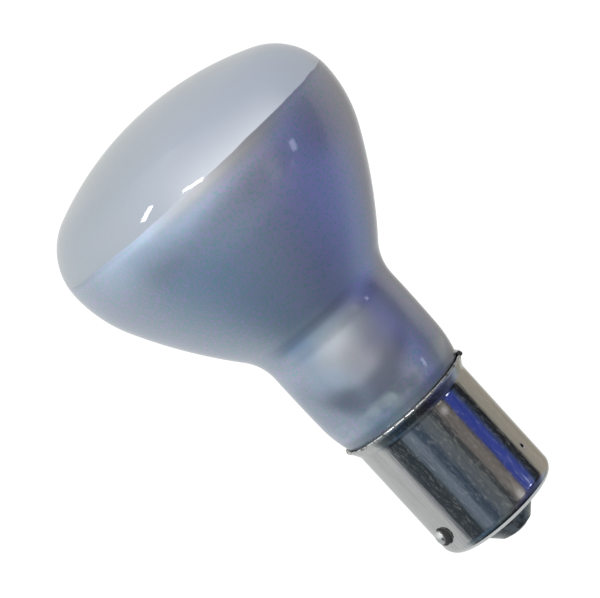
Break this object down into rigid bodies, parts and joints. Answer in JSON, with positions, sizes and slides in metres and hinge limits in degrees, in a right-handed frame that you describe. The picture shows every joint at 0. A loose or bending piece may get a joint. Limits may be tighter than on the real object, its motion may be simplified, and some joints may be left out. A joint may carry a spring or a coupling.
{
  "type": "reflector incandescent lamp bulb",
  "caption": "Small reflector lamp: frosted domed face, silvered bowl and short neck, cemented into a nickelled single-contact bayonet cap with black glass insulator.",
  "frame": {"origin": "middle of the end contact's flat tip", "axes": "+Z along the lamp's axis from the end contact to the frosted face; X through both bayonet pins"},
  "size_m": [0.0372, 0.0372, 0.0623],
  "materials": {
    "frosted_glass": "frosted face and satin silvered bowl under clear glass, opaque from outside",
    "nickel_plate": "bright nickel plate on thin brass",
    "black_glass": "glossy black vitreous insulator, opaque",
    "solder": "dull tin-lead solder",
    "brass": "plain brass",
    "cement": "dull hardened basing cement",
    "lead_wire": "drawn nickelled wire"
  },
  "bodies": {
    "root": {"glass_bulb": "frosted_glass", "basing_cement": "cement", "cap_shell": "nickel_plate", "bayonet_pin_left": "nickel_plate", "bayonet_pin_right": "nickel_plate", "cap_insulator": "black_glass", "contact_plate": "brass", "contact_solder": "solder", "centre_lead_wire": "lead_wire", "side_lead_wire": "lead_wire"}
  },
  "joints": []
}
